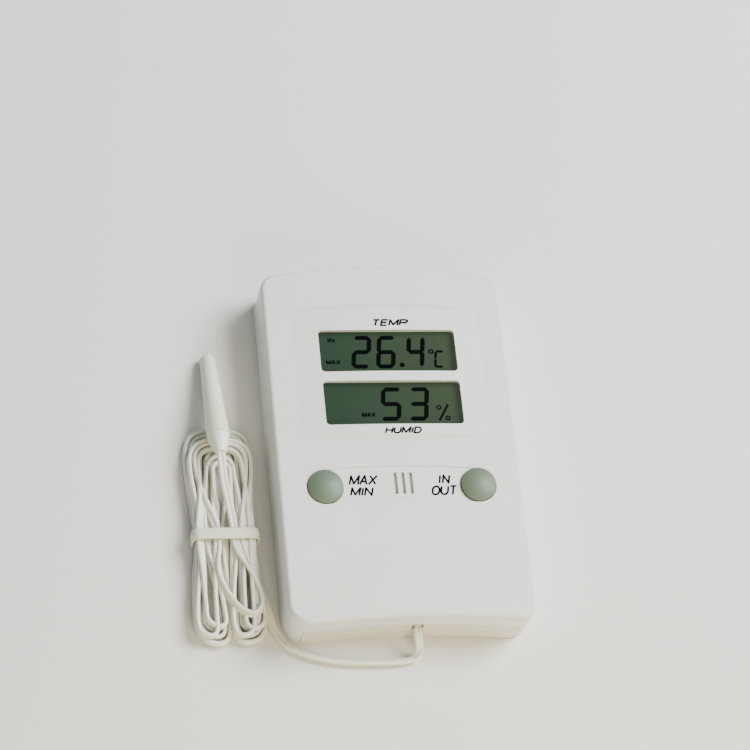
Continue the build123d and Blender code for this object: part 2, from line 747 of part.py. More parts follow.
def probe_cap():
    """Cap that swells from the cable to the body, with a spigot inside the body."""
    groove = 0.15
    outline = (
        Line((0, 0), (PROBE_CAP_END_R, 0)),
        ThreePointArc((PROBE_CAP_END_R, 0), (PROBE_R - 0.75, PROBE_CAP / 2), (PROBE_R - groove, PROBE_CAP - 0.2)),
        Line((PROBE_R - groove, PROBE_CAP - 0.2), (0, PROBE_CAP - 0.2)),
        Line((0, PROBE_CAP - 0.2), (0, 0)),
    )
    cap = revolve(Plane.XZ * make_face(outline), Axis.Z)
    spigot_r = PROBE_R - PROBE_WALL - 0.15
    cap += rod(0, 0, (PROBE_CAP - 0.3, PROBE_CAP + PROBE_SPIGOT), spigot_r)
    cap += rod(0, 0, (PROBE_CAP - 0.3, PROBE_CAP), PROBE_R - 0.4)
    cap -= rod(0, 0, (1.4, PROBE_CAP + PROBE_SPIGOT + 1), CORD_R + 0.05)
    return probe_frame() * cap


def probe_thermistor():
    """Sensing bead near the tip, on two legs."""
    bead_z = PROBE_LENGTH - 4.2
    bead = Pos(0, 0, bead_z) * Sphere(1.1)
    for side in (-1, 1):
        bead += rod(side * 0.55, 0, (PROBE_CAP + PROBE_SPIGOT + 0.5, bead_z), 0.2)
    return probe_frame() * bead


def probe_lead():
    """Cable from the probe cap down onto the hank."""
    frame = probe_frame()
    start = frame.origin
    out = start - frame.z_dir * 3.2
    route = (
        tuple(start),
        tuple(out),
        (-48.9, -8.4, 9.6),
        (-48.2, -13.0, 8.2),
        (-47.6, -18.0, 6.6),
    )
    return tube(route, CORD_R, "probe_lead")


NODES = {
    "front_cover": front_cover(),
    "rear_cover": rear_cover(),
    "case_screws": screws(CASE_SCREWS, CASE_SEAT_Z - CASE_SEAT, "case"),
    "battery_door": battery_door(),
    "fold_out_stand": fold_out_stand(),
    "battery_cell": battery_cell(),
    "battery_spring": battery_spring(),
    "battery_contacts": battery_contacts(),
    "battery_leads": battery_leads(),
    "display_lens": display_lens(),
    "lcd_front_polarizer": lcd_layer(LCD_TOP, POLARIZER, LCD_LEDGE),
    "lcd_front_glass": lcd_layer(LCD_TOP - POLARIZER, GLASS, 0),
    "lcd_rear_glass": lcd_layer(LCD_TOP - POLARIZER - GLASS, GLASS, LCD_LEDGE),
    "lcd_reflector": lcd_layer(LCD_TOP - POLARIZER - 2 * GLASS, POLARIZER, LCD_LEDGE),
    "lcd_frame": lcd_frame(),
    "upper_zebra_strip": zebra(1),
    "lower_zebra_strip": zebra(-1),
    "main_board": main_board(),
    "board_screws": screws(BOARD_SCREWS, UNDER_BOARD, "board"),
    "controller_blob": controller_blob(),
    "crystal": crystal(),
    "chip_resistors": chips(RESISTORS, RESISTOR_SIZE),
    "chip_capacitors": chips(CAPACITORS, CAPACITOR_SIZE),
    "inside_thermistor": inside_thermistor(),
    "humidity_sensor": humidity_sensor(),
    "max_min_button": button(-1),
    "in_out_button": button(1),
    "max_min_contact": contact_dome(-1),
    "in_out_contact": contact_dome(1),
    "inner_cable": tube(INNER_ROUTE, CORD_R, "inner_cable"),
    "sensor_cord": tube(CORD_ROUTE, CORD_R, "sensor_cord"),
    "cord_hank": cord_hank(),
    "hank_tie": hank_tie(),
    "probe_lead": probe_lead(),
    "probe_cap": probe_cap(),
    "probe_body": probe_body(),
    "probe_thermistor": probe_thermistor(),
}

for node_name, node_shape in NODES.items():
    save(node_shape, node_name)
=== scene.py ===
"""Indoor/outdoor maximum-minimum thermometer lying on its back beside its tied cable and probe."""
import math
import random

import bpy
from mathutils import Matrix, Vector


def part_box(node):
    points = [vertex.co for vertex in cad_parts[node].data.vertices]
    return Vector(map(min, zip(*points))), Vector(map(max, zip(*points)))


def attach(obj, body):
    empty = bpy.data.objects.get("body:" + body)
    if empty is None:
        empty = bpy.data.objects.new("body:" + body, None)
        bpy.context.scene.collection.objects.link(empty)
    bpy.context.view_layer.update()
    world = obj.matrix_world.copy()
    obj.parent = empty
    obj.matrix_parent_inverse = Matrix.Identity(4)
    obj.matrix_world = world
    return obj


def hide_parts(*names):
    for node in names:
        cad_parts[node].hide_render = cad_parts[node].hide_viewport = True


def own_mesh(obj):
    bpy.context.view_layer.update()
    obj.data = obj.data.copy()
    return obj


MM = 0.001

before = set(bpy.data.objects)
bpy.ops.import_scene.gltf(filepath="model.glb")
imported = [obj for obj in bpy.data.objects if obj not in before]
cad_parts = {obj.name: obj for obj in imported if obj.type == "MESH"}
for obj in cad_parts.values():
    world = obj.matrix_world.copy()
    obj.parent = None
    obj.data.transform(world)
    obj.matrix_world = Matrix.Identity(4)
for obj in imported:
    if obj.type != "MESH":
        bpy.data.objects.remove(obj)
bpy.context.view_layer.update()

# Places taken from the frame
LCD_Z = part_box("lcd_front_polarizer")[1].z
TIE_LOW, TIE_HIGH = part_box("hank_tie")

# Case's printed surfaces, in millimetres, and how far the print stands above its surface
FACE_Z = 15.4
STRIP_DEPTH = 0.25
PAD_CROWN = 0.7
PAD_HALF_WIDTH = 27.0
INK_RISE = 0.015 * MM
FILM_RISE = 0.02 * MM

# Camera, with its lens and sensor in millimetres
LENS = 139.57
SENSOR = 36.0
CLIP = (0.01, 20.0)
AZIMUTH = math.radians(25)
TILT = math.radians(28.55)
ROLL = math.radians(-6.06)
DISTANCE = 829.2 * MM
TARGET = Vector((-3.22, 22.48, 10.0)) * MM

# Flat twin cable: two round cores side by side, joined by a web
CORE_R = 0.61
CORE_X = 0.59
CORE_SWEEP = 145
CORE_STEPS = 9
SAMPLE_STEP = 0.5 * MM
SAMPLES_PER_SPAN = 16


def collection_link(obj):
    bpy.context.scene.collection.objects.link(obj)
    return obj


def mesh_object(name, points, faces, smooth=True):
    mesh = bpy.data.meshes.new(name)
    mesh.from_pydata([tuple(p) for p in points], [], faces)
    mesh.validate()
    mesh.update()
    for polygon in mesh.polygons:
        polygon.use_smooth = smooth
    return collection_link(bpy.data.objects.new(name, mesh))


# ---------------------------------------------------------------- materials

# Scales of the noise that gives a material its drift in tone and its grain
PLASTIC_TONE = 45.0
METAL_TONE = 300.0
METAL_GRAIN = 900.0
METAL_DEPTH = 0.01 * MM
METAL_SPREAD = 0.1
TONE_LOW = 0.3
TONE_HIGH = 0.7
PLASTIC_IOR = 1.5
COAT_ROUGHNESS = 0.12
SCATTER_RADIUS = (1.0, 0.9, 0.7)
SCATTER_SCALE = 1.2 * MM
GLOSS_IOR = 1.16

# Display colours: the darker left end and the lighter right end are painted light and shade from the key
# light's side. The glow is painted light too: the display emits though it is no lamp.
DISPLAY_SHADED_LEFT = (0.0148, 0.0254, 0.0178, 1)
DISPLAY_LIT_RIGHT = (0.0265, 0.0335, 0.0220, 1)
DISPLAY_PAINTED_GLOW = 1.9
DISPLAY_SPREAD = 20 * MM


def new_material(name):
    material = bpy.data.materials.new(name)
    material.use_nodes = True
    nodes = material.node_tree.nodes
    return material, nodes, material.node_tree.links, nodes["Principled BSDF"]


def object_noise(nodes, links, scale, detail=3.0):
    place = nodes.new("ShaderNodeTexCoord")
    noise = nodes.new("ShaderNodeTexNoise")
    noise.inputs["Scale"].default_value = scale
    noise.inputs["Detail"].default_value = detail
    links.new(place.outputs["Object"], noise.inputs["Vector"])
    return noise


def add_bump(nodes, links, shader, scale, distance):
    noise = object_noise(nodes, links, scale)
    bump = nodes.new("ShaderNodeBump")
    bump.inputs["Strength"].default_value = 1.0
    bump.inputs["Distance"].default_value = distance
    links.new(noise.outputs["Fac"], bump.inputs["Height"])
    links.new(bump.outputs["Normal"], shader.inputs["Normal"])


def add_tone(nodes, links, shader, dark, light, scale):
    """Slow variation between two close tones."""
    noise = object_noise(nodes, links, scale, 2.0)
    ramp = nodes.new("ShaderNodeValToRGB")
    ramp.color_ramp.elements[0].position = TONE_LOW
    ramp.color_ramp.elements[1].position = TONE_HIGH
    ramp.color_ramp.elements[0].color = (*dark, 1)
    ramp.color_ramp.elements[1].color = (*light, 1)
    links.new(noise.outputs["Fac"], ramp.inputs["Fac"])
    links.new(ramp.outputs["Color"], shader.inputs["Base Color"])


def moulded(
    name,
    colour,
    roughness,
    grain=1400.0,
    depth=0.012 * MM,
    sss=0.0,
    coat=0.0,
    spread=0.03,
    specular=0.5,
):
    """Moulded plastic with a fine grain and a slight drift in tone."""
    material, nodes, links, shader = new_material(name)
    shader.inputs["Roughness"].default_value = roughness
    shader.inputs["IOR"].default_value = PLASTIC_IOR
    shader.inputs["Specular IOR Level"].default_value = specular
    if sss:
        shader.inputs["Subsurface Weight"].default_value = sss
        shader.inputs["Subsurface Radius"].default_value = SCATTER_RADIUS
        shader.inputs["Subsurface Scale"].default_value = SCATTER_SCALE
    shader.inputs["Coat Weight"].default_value = coat
    shader.inputs["Coat Roughness"].default_value = COAT_ROUGHNESS
    dark = [c * (1 - spread) for c in colour]
    light = [min(1.0, c * (1 + spread)) for c in colour]
    add_tone(nodes, links, shader, dark, light, PLASTIC_TONE)
    add_bump(nodes, links, shader, grain, depth)
    return material


def metal(name, colour, roughness):
    material, nodes, links, shader = new_material(name)
    shader.inputs["Metallic"].default_value = 1.0
    shader.inputs["Roughness"].default_value = roughness
    dark = [c * (1 - METAL_SPREAD) for c in colour]
    add_tone(nodes, links, shader, dark, colour, METAL_TONE)
    add_bump(nodes, links, shader, METAL_GRAIN, METAL_DEPTH)
    return material


def clear(name, tint, gloss_roughness):
    """Clear sheet: light passes straight through and the outer side of each surface keeps its gloss."""
    material, nodes, links, shader = new_material(name)
    nodes.remove(shader)
    through = nodes.new("ShaderNodeBsdfTransparent")
    through.inputs["Color"].default_value = (*tint, 1)
    gloss = nodes.new("ShaderNodeBsdfGlossy")
    gloss.inputs["Roughness"].default_value = gloss_roughness
    fresnel = nodes.new("ShaderNodeFresnel")
    fresnel.inputs["IOR"].default_value = GLOSS_IOR
    side = nodes.new("ShaderNodeNewGeometry")
    outer = nodes.new("ShaderNodeMath")
    outer.operation = "SUBTRACT"
    outer.use_clamp = True
    mix = nodes.new("ShaderNodeMixShader")
    links.new(fresnel.outputs["Fac"], outer.inputs[0])
    links.new(side.outputs["Backfacing"], outer.inputs[1])
    links.new(outer.outputs["Value"], mix.inputs["Fac"])
    links.new(through.outputs["BSDF"], mix.inputs[1])
    links.new(gloss.outputs["BSDF"], mix.inputs[2])
    links.new(mix.outputs["Shader"], nodes["Material Output"].inputs["Surface"])
    return material


def lcd_background():
    """Grey-green reflective display with painted light: lighter towards the right, the side the key
    light comes from.

    A little emission paints light onto the display. It stands for the light that the reflector behind
    the glass sends back, so the edges of the windows don't shade the display as they would shade paint.
    """
    material, nodes, links, shader = new_material("lcd_background")
    shader.inputs["Roughness"].default_value = 0.6
    shader.inputs["Specular IOR Level"].default_value = 0.0
    place = nodes.new("ShaderNodeTexCoord")
    split = nodes.new("ShaderNodeSeparateXYZ")
    spread = nodes.new("ShaderNodeMapRange")
    ramp = nodes.new("ShaderNodeValToRGB")
    spread.inputs["From Min"].default_value = -DISPLAY_SPREAD
    spread.inputs["From Max"].default_value = DISPLAY_SPREAD
    ramp.color_ramp.elements[0].color = DISPLAY_SHADED_LEFT
    ramp.color_ramp.elements[1].color = DISPLAY_LIT_RIGHT
    shader.inputs["Emission Strength"].default_value = DISPLAY_PAINTED_GLOW
    links.new(place.outputs["Object"], split.inputs["Vector"])
    links.new(split.outputs["X"], spread.inputs["Value"])
    links.new(spread.outputs["Result"], ramp.inputs["Fac"])
    links.new(ramp.outputs["Color"], shader.inputs["Base Color"])
    links.new(ramp.outputs["Color"], shader.inputs["Emission Color"])
    return material


WHITE = moulded("white_abs", (0.72, 0.73, 0.70), 0.42)
BACK_WHITE = moulded("back_abs", (0.68, 0.66, 0.56), 0.5)
STEEL = metal("zinc_steel", (0.62, 0.62, 0.6), 0.3)
SPRING = metal("nickel", (0.75, 0.74, 0.7), 0.2)
CELL = moulded("cell_sleeve", (0.05, 0.09, 0.16), 0.3, coat=0.4)
RED_WIRE = moulded("red_pvc", (0.5, 0.03, 0.03), 0.35)
LENS_CLEAR = clear("clear_acrylic", (0.93, 0.96, 0.93), 0.06)
GLASS_CLEAR = clear("lcd_glass", (0.86, 0.93, 0.88), 0.05)
LCD = lcd_background()
REFLECTOR = metal("reflector_film", (0.55, 0.58, 0.5), 0.5)
ELASTOMER = moulded("elastomer", (0.6, 0.55, 0.45), 0.7)
BOARD = moulded("solder_mask", (0.02, 0.16, 0.06), 0.3, coat=0.3)
RESIN = moulded("black_resin", (0.015, 0.015, 0.017), 0.25)
CERAMIC = moulded("tan_ceramic", (0.4, 0.28, 0.15), 0.5)
HOUSING = moulded("sensor_housing", (0.7, 0.68, 0.6), 0.5)
BUTTON = moulded("button_plastic", (0.110, 0.156, 0.100), 0.5, sss=0.1)
SILICONE = moulded("silicone", (0.5, 0.5, 0.48), 0.6)
CABLE = moulded("cable_pvc", (0.80, 0.79, 0.69), 0.36, grain=700.0, depth=0.02 * MM, sss=0.15)
TIE = moulded("tie_pvc", (0.76, 0.77, 0.63), 0.45, grain=900.0)
PROBE = moulded("probe_abs", (0.76, 0.80, 0.62), 0.38, sss=0.1)
PROBE_CAP = moulded("probe_cap_abs", (0.81, 0.85, 0.73), 0.38, sss=0.1)
INK = moulded("black_ink", (0.008, 0.008, 0.010), 0.8, spread=0.0, specular=0.0)
SEGMENT = moulded("lcd_segment", (0.003, 0.004, 0.005), 0.8, spread=0.0, specular=0.0)

FINISHES = {
    "front_cover": WHITE,
    "rear_cover": BACK_WHITE,
    "battery_door": BACK_WHITE,
    "fold_out_stand": BACK_WHITE,
    "lcd_frame": BACK_WHITE,
    "case_screws": STEEL,
    "board_screws": STEEL,
    "crystal": STEEL,
    "battery_spring": SPRING,
    "battery_contacts": SPRING,
    "battery_cell": CELL,
    "battery_leads": RED_WIRE,
    "display_lens": LENS_CLEAR,
    "lcd_front_polarizer": LCD,
    "lcd_front_glass": GLASS_CLEAR,
    "lcd_rear_glass": GLASS_CLEAR,
    "lcd_reflector": REFLECTOR,
    "upper_zebra_strip": ELASTOMER,
    "lower_zebra_strip": ELASTOMER,
    "main_board": BOARD,
    "controller_blob": RESIN,
    "chip_resistors": RESIN,
    "inside_thermistor": RESIN,
    "probe_thermistor": RESIN,
    "chip_capacitors": CERAMIC,
    "humidity_sensor": HOUSING,
    "max_min_button": BUTTON,
    "in_out_button": BUTTON,
    "max_min_contact": SILICONE,
    "in_out_contact": SILICONE,
    "inner_cable": CABLE,
    "probe_cap": PROBE_CAP,
    "probe_body": PROBE,
}


def paint_nodes():
    for node, material in FINISHES.items():
        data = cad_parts[node].data
        data.materials.clear()
        data.materials.append(material)


# ---------------------------------------------------------------- lettering and display


# Strokes of each letter on a unit square, as open lines
ROUND = (
    (0.5, 1),
    (0.82, 0.93),
    (1, 0.7),
    (1, 0.3),
    (0.82, 0.07),
    (0.5, 0),
    (0.18, 0.07),
    (0, 0.3),
    (0, 0.7),
    (0.18, 0.93),
    (0.5, 1),
)
LETTERS = {
    "A": (((0, 0), (0.5, 1), (1, 0)), ((0.2, 0.33), (0.8, 0.33))),
    "D": (((0, 0), (0, 1), (0.5, 1), (0.85, 0.88), (1, 0.6), (1, 0.4), (0.85, 0.12), (0.5, 0), (0, 0)),),
    "E": (((1, 1), (0, 1), (0, 0), (1, 0)), ((0, 0.52), (0.9, 0.52))),
    "H": (((0, 0), (0, 1)), ((1, 0), (1, 1)), ((0, 0.52), (1, 0.52))),
    "I": (((0.5, 0), (0.5, 1)),),
    "M": (((0, 0), (0, 1), (0.5, 0.1), (1, 1), (1, 0)),),
    "N": (((0, 0), (0, 1), (1, 0), (1, 1)),),
    "O": (ROUND,),
    "P": (((0, 0), (0, 1), (0.7, 1), (1, 0.87), (1, 0.62), (0.7, 0.48), (0, 0.48)),),
    "T": (((0, 1), (1, 1)), ((0.5, 1), (0.5, 0))),
    "U": (((0, 1), (0, 0.3), (0.18, 0.07), (0.5, 0), (0.82, 0.07), (1, 0.3), (1, 1)),),
    "X": (((0, 0), (1, 1)), ((0, 1), (1, 0))),
}
NARROW = {"I": 0.12, "M": 1.2, "T": 0.95, "E": 0.85}
JOINT_STEPS = 10


def stroke_faces(line, width, points, faces):
    """Ribbon of a given width along a line, with round joints."""
    half = width / 2
    for start, end in zip(line, line[1:]):
        across = (end - start).normalized().orthogonal() * half
        first = len(points)
        points.extend((start + across, start - across, end - across, end + across))
        faces.append(tuple(range(first, first + 4)))
    joints = line[1:-1]
    if (line[0] - line[-1]).length < 1e-6:
        joints = line[1:]
    for joint in joints:
        first = len(points)
        for step in range(JOINT_STEPS):
            turn = math.tau * step / JOINT_STEPS
            points.append(joint + Vector((math.cos(turn), math.sin(turn))) * half)
        faces.append(tuple(range(first, first + JOINT_STEPS)))


def lettering(name, text, x, y, material, height, italic, stroke, gap):
    """Flat lettering that fills the given x and y limits, in millimetres.

    The height function gives z in metres at x, and the gap is a share of a letter's width.
    """
    weights = [NARROW.get(letter, 1.0) for letter in text]
    high = y[1] - y[0] - stroke
    free = x[1] - x[0] - italic * high - stroke
    unit = free / (sum(weights) + gap * (len(text) - 1))
    place = x[0] + stroke / 2
    flat = []
    faces = []
    for letter, weight in zip(text, weights):
        for line in LETTERS[letter]:
            bent = []
            for u, v in line:
                along = place + u * weight * unit + v * italic * high
                bent.append(Vector((along, y[0] + stroke / 2 + v * high)))
            stroke_faces(bent, stroke, flat, faces)
        place += (weight + gap) * unit
    points = [(p.x * MM, p.y * MM, height(p.x)) for p in flat]
    piece = mesh_object(name, points, faces, smooth=False)
    piece.data.materials.append(material)
    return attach(piece, "root")


SEGMENTS = {
    "a": ((0, 1), (1, 1)),
    "b": ((1, 0.5), (1, 1)),
    "c": ((1, 0), (1, 0.5)),
    "d": ((0, 0), (1, 0)),
    "e": ((0, 0), (0, 0.5)),
    "f": ((0, 0.5), (0, 1)),
    "g": ((0, 0.5), (1, 0.5)),
}
DIGITS = {"C": "adef", "2": "abged", "3": "abgcd", "4": "fgbc", "5": "afgcd", "6": "afgedc"}
STROKE = 1.3
SEGMENT_GAP = 0.05
SEGMENT_SHOULDER = 0.42
SEGMENT_BLUNT = 0.3
SLANT = 0.12
# Percent sign: radii of its rings, the upper ring's centre below its top, the bar's distance from
# its left and right side, and the bar's width
PERCENT_RING = (0.75, 0.35)
PERCENT_DROP = 0.9
PERCENT_BAR_INSET = (0.5, 0.3)
PERCENT_STROKE = 0.6


def segment_outline(start, end, stroke):
    """Bar with pointed ends between two corners of the digit."""
    along = (end - start).normalized()
    across = Vector((-along.y, along.x)) * stroke / 2
    near, far = start + along * SEGMENT_GAP, end - along * SEGMENT_GAP
    shoulder = along * stroke * SEGMENT_SHOULDER
    blunt = across * SEGMENT_BLUNT
    return [
        near - blunt,
        near + shoulder - across,
        far - shoulder - across,
        far - blunt,
        far + blunt,
        far - shoulder + across,
        near + shoulder + across,
        near + blunt,
    ]


def on_film(x):
    """Height of a segment on the display's front film, which is the same at every x, in metres."""
    return LCD_Z + FILM_RISE


def display_piece(name, flat, faces):
    """Dark shape lying on the display's front film; flat holds x and y in millimetres."""
    points = [(p[0] * MM, p[1] * MM, on_film(p[0])) for p in flat]
    piece = mesh_object(name, points, faces, smooth=False)
    piece.data.materials.append(SEGMENT)
    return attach(piece, "root")


def digit(name, value, x, y, width, height, stroke=STROKE):
    """Seven-segment figure whose box starts at x, y; the slant is added to its width."""
    flat = []
    faces = []
    half = stroke / 2
    for key in DIGITS[value]:
        ends = []
        for u, v in SEGMENTS[key]:
            ends.append(Vector((half + u * (width - stroke), half + v * (height - stroke))))
        outline = segment_outline(*ends, stroke)
        first = len(flat)
        flat.extend((x + p.x + SLANT * p.y, y + p.y) for p in outline)
        faces.append(tuple(range(first, first + len(outline))))
    return display_piece(name, flat, faces)


def ring_points(x, y, outer, inner, flat, faces, steps=20):
    first = len(flat)
    for radius in (outer, inner):
        for step in range(steps):
            turn = math.tau * step / steps
            flat.append((x + radius * math.cos(turn), y + radius * math.sin(turn)))
    for step in range(steps):
        after = (step + 1) % steps
        faces.append((first + step, first + after, first + steps + after, first + steps + step))


def ring(name, x, y, outer, inner):
    flat = []
    faces = []
    ring_points(x, y, outer, inner, flat, faces)
    return display_piece(name, flat, faces)


def dot(name, x, y, radius, steps=16):
    turns = [math.tau * step / steps for step in range(steps)]
    flat = [(x + radius * math.cos(turn), y + radius * math.sin(turn)) for turn in turns]
    return display_piece(name, flat, [tuple(range(steps))])


def percent(name, x, y, width, height):
    """Percent sign whose box starts at x, y: two rings with a slanting bar between them."""
    flat = []
    faces = []
    outer, inner = PERCENT_RING
    ring_points(x + outer, y + height - PERCENT_DROP, outer, inner, flat, faces)
    ring_points(x + width - outer, y + outer, outer, inner, flat, faces)
    left, right = PERCENT_BAR_INSET
    bar = [Vector((x + left, y)), Vector((x + width - right, y + height))]
    slash = []
    stroke_faces(bar, PERCENT_STROKE, slash, [])
    first = len(flat)
    flat.extend((p.x, p.y) for p in slash)
    faces.append(tuple(range(first, first + 4)))
    return display_piece(name, flat, faces)


# The display's figures, in millimetres: piece, figure, x of its left edge and its width
UPPER_FIGURES = (
    ("tens_of_degrees", "2", -10.8, 5.6),
    ("degrees", "6", -3.6, 5.6),
    ("tenths", "4", 5.1, 5.3),
)
LOWER_FIGURES = (
    ("tens_of_humidity", "5", -4.0, 6.0),
    ("humidity", "3", 4.1, 5.8),
)
UPPER_Y = 22.6
UPPER_HEIGHT = 10.4
LOWER_Y = 6.1
LOWER_HEIGHT = 10.5
# The display's small words: piece, text, limits in x and in y
FLAGS = (
    ("inside_flag", "IN", (-16.9, -14.8), (30.8, 32.4)),
    ("upper_memory_flag", "MAX", (-17.9, -13.7), (23.9, 25.4)),
    ("lower_memory_flag", "MAX", (-9.1, -5.1), (7.3, 8.8)),
)
FLAG_STROKE = 0.38
FLAG_GAP = 0.4


def display():
    for name, value, x, width in UPPER_FIGURES:
        digit(name, value, x, UPPER_Y, width, UPPER_HEIGHT)
    for name, value, x, width in LOWER_FIGURES:
        digit(name, value, x, LOWER_Y, width, LOWER_HEIGHT)
    for name, text, x, y in FLAGS:
        lettering(name, text, x, y, SEGMENT, on_film, 0.0, FLAG_STROKE, FLAG_GAP)
    dot("decimal_point", 4.1, 23.7, 0.75)
    ring("degree_mark", 12.9, 27.9, 0.8, 0.35)
    digit("celsius", "C", 13.3, 22.7, 3.0, 5.6, 0.75)
    percent("percent", 12.6, LOWER_Y, 3.8, 5.0)


def on_pad(x):
    """Height of ink on the display pad's crowned face, in metres, at x in millimetres."""
    radius = (PAD_HALF_WIDTH**2 + PAD_CROWN**2) / (2 * PAD_CROWN)
    return (FACE_Z + PAD_CROWN - radius + math.sqrt(radius**2 - x**2)) * MM + INK_RISE


def on_strip(x):
    """Height of ink on the label strip, which is the same at every x, in metres."""
    return (FACE_Z - STRIP_DEPTH) * MM + INK_RISE


# The case's printed words: piece, text, limits in x and in y, surface, italic, stroke and gap
LEGENDS = (
    ("temperature_legend", "TEMP", (-4.3, 6.9), (35.0, 37.3), on_pad, 0.35, 0.56, 0.34),
    ("humidity_legend", "HUMID", (-3.6, 7.5), (1.1, 3.3), on_pad, 0.35, 0.52, 0.34),
    ("max_legend", "MAX", (-15.2, -6.6), (-14.2, -11.0), on_strip, 0.25, 0.56, 0.28),
    ("min_legend", "MIN", (-15.1, -8.1), (-17.5, -14.7), on_strip, 0.25, 0.56, 0.34),
    ("in_legend", "IN", (10.3, 14.05), (-14.1, -11.2), on_strip, 0.18, 0.58, 0.5),
    ("out_legend", "OUT", (8.0, 15.8), (-17.6, -14.5), on_strip, 0.18, 0.58, 0.3),
)


def legends():
    for name, text, x, y, surface, italic, stroke, gap in LEGENDS:
        lettering(name, text, x, y, INK, surface, italic, stroke, gap)


# ---------------------------------------------------------------- cable, hank, tie

# Route of the free stretch: x, y and z in millimetres, and the lean of the flat cable in degrees.
# It leaves the case, drops to the surface and runs round to the hank.
FREE_ROUTE = (
    (1.8, -53.55, 7.3, 0),
    (1.8, -55.2, 7.3, 0),
    (2.0, -56.6, 6.4, 0),
    (2.4, -57.7, 4.8, 0),
    (2.7, -58.6, 3.1, 0),
    (2.2, -59.8, 1.6, 10),
    (0.7, -60.9, 1.0, 40),
    (-4.4, -61.4, 1.06, 50),
    (-11.9, -61.3, 1.06, 50),
    (-20.2, -60.8, 1.06, 50),
    (-27.4, -59.1, 1.06, 45),
    (-33.6, -56.2, 0.95, 30),
    (-37.2, -51.0, 0.9, 10),
    (-38.4, -45.0, 1.6, 0),
)

WAIST_Y = -24.4
WAIST_HALF = 3.0
LOWER_Z = 1.3
UPPER_Z = 3.75
LOWER_LOOPS = 6
HANK_X = -49.0
COLUMN_PITCH = 2.42
MIDDLE_COLUMN = 3
COLUMNS = [HANK_X + COLUMN_PITCH * (column - MIDDLE_COLUMN) for column in range(7)]
LAYERS = (1.56, 2.8, 4.04, 5.28)

# The hank's loops in winding order: radius and crest of the fold at the top
TOP_FOLDS = (
    (9.3, 9.3),
    (2.5, 0.9),
    (8.0, 8.0),
    (3.8, 3.0),
    (6.6, 6.7),
    (5.2, 5.2),
    (8.7, 5.4),
    (2.4, -1.6),
    (6.1, 2.7),
    (3.7, 0.2),
    (7.4, 4.3),
)
# Place in the tie (column, layer) and x at the bottom of each loop's left and right strand
LEFT = (
    (0, 0, -58.7),
    (3, 0, -49.3),
    (0, 1, -57.5),
    (2, 0, -50.5),
    (1, 0, -56.3),
    (1, 1, -51.6),
    (0, 2, -58.4),
    (2, 2, -53.0),
    (0, 3, -55.8),
    (1, 2, -50.4),
    (2, 3, -52.6),
)
RIGHT = (
    (6, 0, -39.0),
    (3, 1, -48.5),
    (6, 1, -39.4),
    (4, 0, -47.3),
    (5, 0, -40.6),
    (5, 1, -46.1),
    (6, 2, -41.4),
    (4, 2, -48.4),
    (6, 3, -42.8),
    (5, 2, -45.2),
    (5, 3, -39.8),
)
# Crest of the fold at the bottom between a loop and the next
BOTTOM_CRESTS = (-54.6, -54.6, -52.7, -52.8, -50.8, -50.8, -53.2, -53.4, -50.6, -51.4)
# Slope of the folds at the bottom, which rise from the middle of the hank to its sides
BOTTOM_SLOPES = {"left": 0.3, "right": 0.1}
# How far a fold's corners stand back along it and out from its middle, as shares of its radius.
# Folds at the top are squarer from a radius of 5 mm up.
SQUARE_RADIUS = 5.0
SQUARE_CORNERS = (0.45, 0.6)
ROUND_CORNERS = (0.586, 0.414)
# Points of a strand between its place in the tie and its folds: y, share of the way to the fold's
# x, and share of the way to the level of the fold
BY_LOWER_FOLD = (-45.5, 0.95, 0.85)
BELOW_TIE = (-35.5, 0.6, 0.4)
ABOVE_TIE = (-13.5, 0.5, 0.35)
BY_UPPER_FOLD = (-5.0, 0.95, 0.85)
# Leans of the flat cable, in degrees: in the tie (one of three), on either side of it, in the folds,
# beside them and in the last turn
TIE_LEANS = (0, 20, 160)
EDGE_LEANS = (60, 120)
FOLD_LEAN = 90
NEAR_FOLD_LEAN = 85
CROSSING_LEAN = 60
# How far the strands stray at random, and how far a whole upper loop shifts, in millimetres
SEED = 7
LOWER_STRAY = 0.3
UPPER_STRAY = 0.55
UPPER_SHIFT = 0.25
# Last turn, which crosses the front of the hank from left to right and goes back under the tie
CROSSING = (
    (-52.6, -34.5, 5.2),
    (-50.4, -40.6, 5.1),
    (-47.0, -46.2, 5.0),
    (-42.6, -48.2, 4.9),
    (-39.9, -45.2, 4.9),
    (-40.3, -40.4, 5.0),
    (-43.2, -34.0, 5.3),
)
LAST_PLACE = (4, 3)


def fold(start_x, end_x, crest, start_z, end_z, way, slope=0.0):
    """Control points of a fold; way is 1 at the top and -1 at the bottom."""
    radius = abs(end_x - start_x) / 2
    middle = (start_x + end_x) / 2
    side = 1 if end_x > start_x else -1
    square = way == 1 and radius > SQUARE_RADIUS
    drop, reach = SQUARE_CORNERS if square else ROUND_CORNERS
    shoulder = crest - way * drop * radius
    near, far = middle - side * reach * radius, middle + side * reach * radius
    rise = (end_z - start_z) / 3
    places = (
        (start_x, shoulder, start_z),
        (near, crest, start_z + rise),
        (far, crest, end_z - rise),
        (end_x, shoulder, end_z),
    )
    return [(x, y + slope * (middle - x), z, FOLD_LEAN) for x, y, z in places]


def mix(a, b, share):
    return a + (b - a) * share


def way_point(spot, start, fold_x, level, sway, lift, lean):
    """Point of a strand on its way from its place in the tie (start) to a fold."""
    y, across, upwards = spot
    x, z = start
    return (mix(x, fold_x, across) + sway, y, mix(z, level, upwards) + lift, lean)


